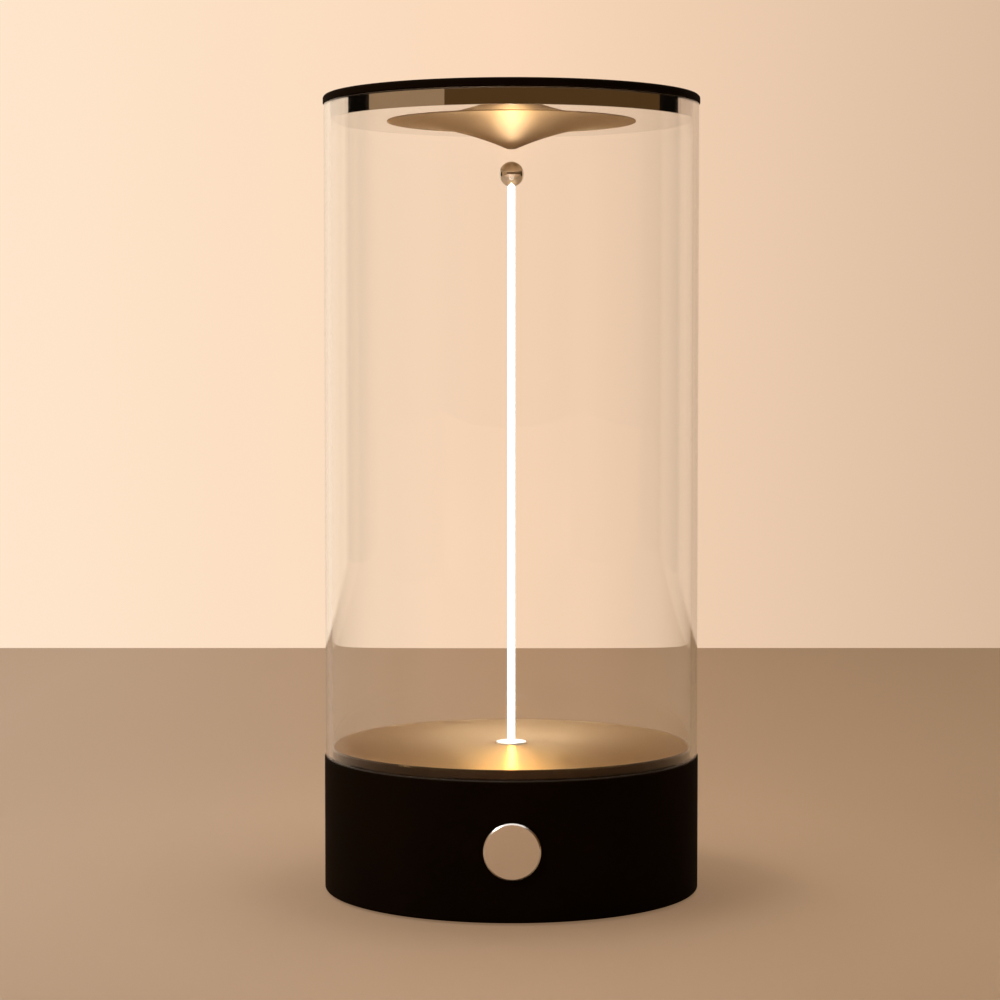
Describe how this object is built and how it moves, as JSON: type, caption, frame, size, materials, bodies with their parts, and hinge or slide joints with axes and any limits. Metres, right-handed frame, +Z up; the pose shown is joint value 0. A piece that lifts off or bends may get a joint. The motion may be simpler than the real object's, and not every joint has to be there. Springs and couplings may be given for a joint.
{
  "type": "cordless table lamp",
  "caption": "Cordless table lamp: a glowing rod with a steel ball on its tip stands in a clear glass tube, held upright by a magnet in the bronze horn above. Push button on a black drum base.",
  "frame": {"origin": "centre of the base on the table, at the underside of the feet", "axes": "+Z up, -Y towards the front with the button, +Y towards the charging socket"},
  "size_m": [0.12, 0.1208, 0.2536],
  "materials": {
    "black_anodised": "matte black anodised",
    "black_plastic": "moulded",
    "foot_rubber": "matte",
    "screw_steel": "zinc plated",
    "ballast_steel": "rolled",
    "cell_wrap": "shrink-wrapped",
    "nickel": "nickel plated",
    "board_green": "solder mask",
    "chip_black": "moulded",
    "white_plastic": "moulded",
    "satin_metal": "satin, bright chamfer",
    "bronze": "bronze anodised, turned",
    "bright_metal": "polished",
    "mirror_metal": "mirror polished",
    "ball_steel": "mirror polished",
    "clear_glass": "clear",
    "gasket_silicone": "translucent",
    "lead_white": "insulated",
    "lead_red": "insulated",
    "filament_glow": "milky, lit"
  },
  "bodies": {
    "base": {"base_shell": "black_anodised", "bottom_cover": "black_plastic", "foot_pads": "foot_rubber", "cover_screws": "screw_steel", "ballast_plate": "ballast_steel", "ballast_screws": "screw_steel", "battery_cradle": "black_plastic", "cradle_screws": "screw_steel", "battery_cells": "cell_wrap", "cell_strips": "nickel", "main_board": "board_green", "board_screws": "screw_steel", "driver_chips": "chip_black", "power_inductor": "chip_black", "lead_sockets": "white_plastic", "usb_socket": "nickel", "switch_bracket": "black_plastic", "bracket_screws": "screw_steel", "switch_board": "board_green", "tact_switch": "chip_black", "deck_plate": "bronze", "deck_screws": "screw_steel", "filament_collar": "bright_metal", "collar_nut": "screw_steel", "glass_tube": "clear_glass", "tube_gasket": "gasket_silicone", "lid_gasket": "gasket_silicone", "top_plug": "mirror_metal", "magnet_horn": "bronze", "horn_magnet": "nickel", "horn_screws": "screw_steel", "lid_tape": "foot_rubber", "top_lid": "black_anodised", "filament_leads": "lead_white", "switch_leads": "lead_white", "battery_leads": "lead_red"},
    "button": {"button_cap": "satin_metal", "button_clip": "screw_steel", "switch_plunger": "white_plastic"},
    "filament": {"filament_sheath": "filament_glow", "led_strip": "filament_glow", "filament_ferrule": "bright_metal", "steel_ball": "ball_steel"}
  },
  "joints": [
    {"name": "button_press", "type": "slide", "parent": "base", "child": "button", "axis": [0, 1, 0], "range_m": [0, 0.001], "stiffness_N_per_m": 600, "springref_m": -0.001},
    {"name": "filament_sway", "type": "hinge", "parent": "base", "child": "filament", "pos_m": [0, 0, 0.0435], "axis": [0, 1, 0], "range_deg": [-3, 3], "stiffness_Nm_per_rad": 0.08, "deforming": ["filament_leads"]}
  ]
}
